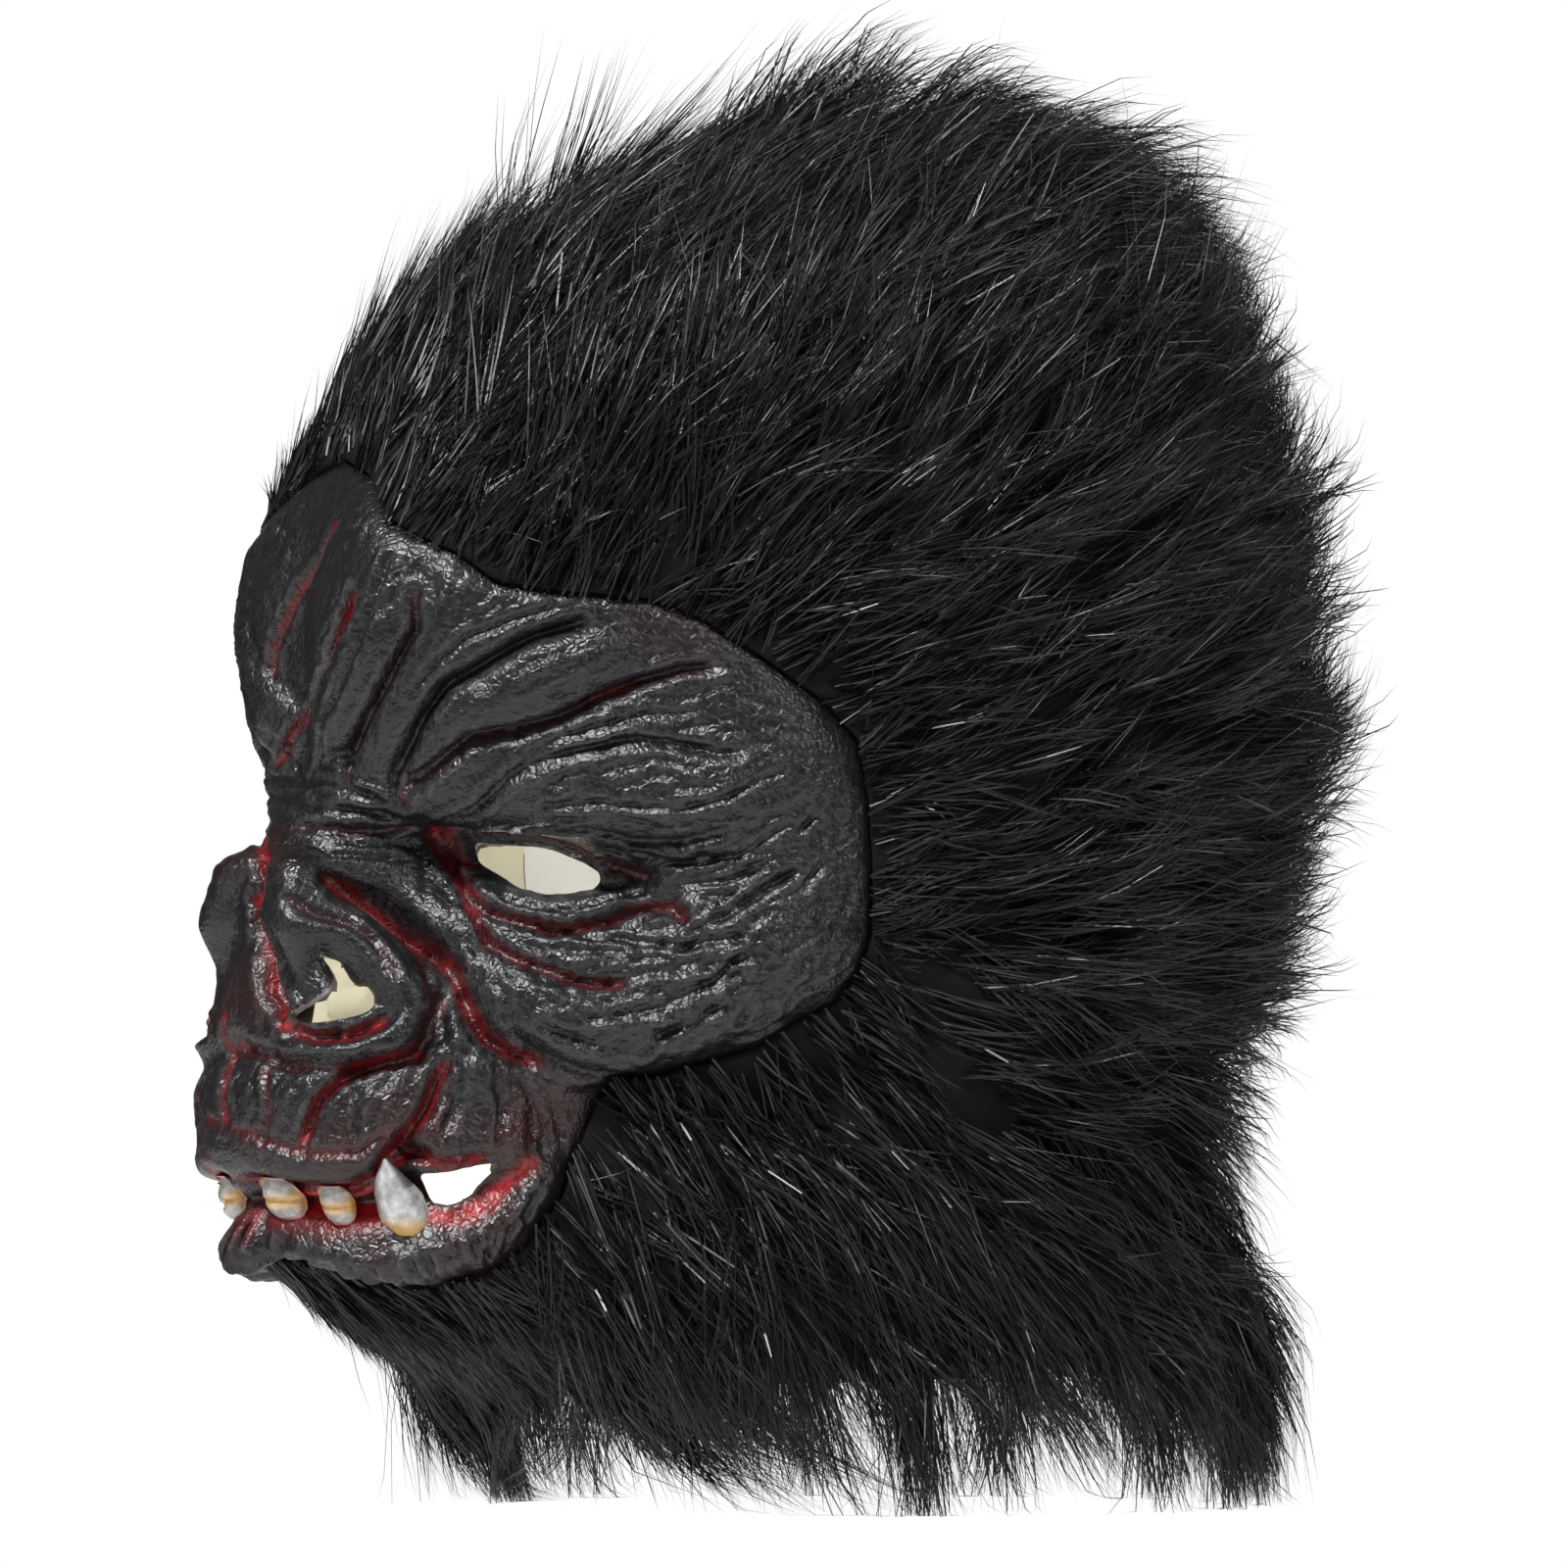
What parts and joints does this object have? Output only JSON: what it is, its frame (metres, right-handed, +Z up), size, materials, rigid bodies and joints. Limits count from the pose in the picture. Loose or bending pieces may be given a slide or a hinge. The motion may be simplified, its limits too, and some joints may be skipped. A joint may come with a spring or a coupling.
{
  "type": "gorilla mask",
  "caption": "Full-head gorilla mask: moulded latex face with open eyes, nostrils and mouth corners, set in a deep-pile fur hood open at the neck.",
  "frame": {"origin": "inside of the top of the hood, where it rests on the crown of the wearer's head", "axes": "+Z up out of the top of the head, -Y the way the face looks, +X the wearer's left"},
  "size_m": [0.2326, 0.2942, 0.3278],
  "materials": {
    "latex": "satin black latex with red paint in the folds",
    "fur": "long black pile on a knit backing",
    "teeth": "painted latex, grey-white with yellow at the root"
  },
  "bodies": {
    "root": {"latex_face": "latex", "crown_fur": "fur", "beard_fur": "fur", "tooth_inner_left": "teeth", "tooth_inner_right": "teeth", "tooth_outer_left": "teeth", "tooth_outer_right": "teeth", "fang_left": "teeth", "fang_right": "teeth"}
  },
  "joints": []
}
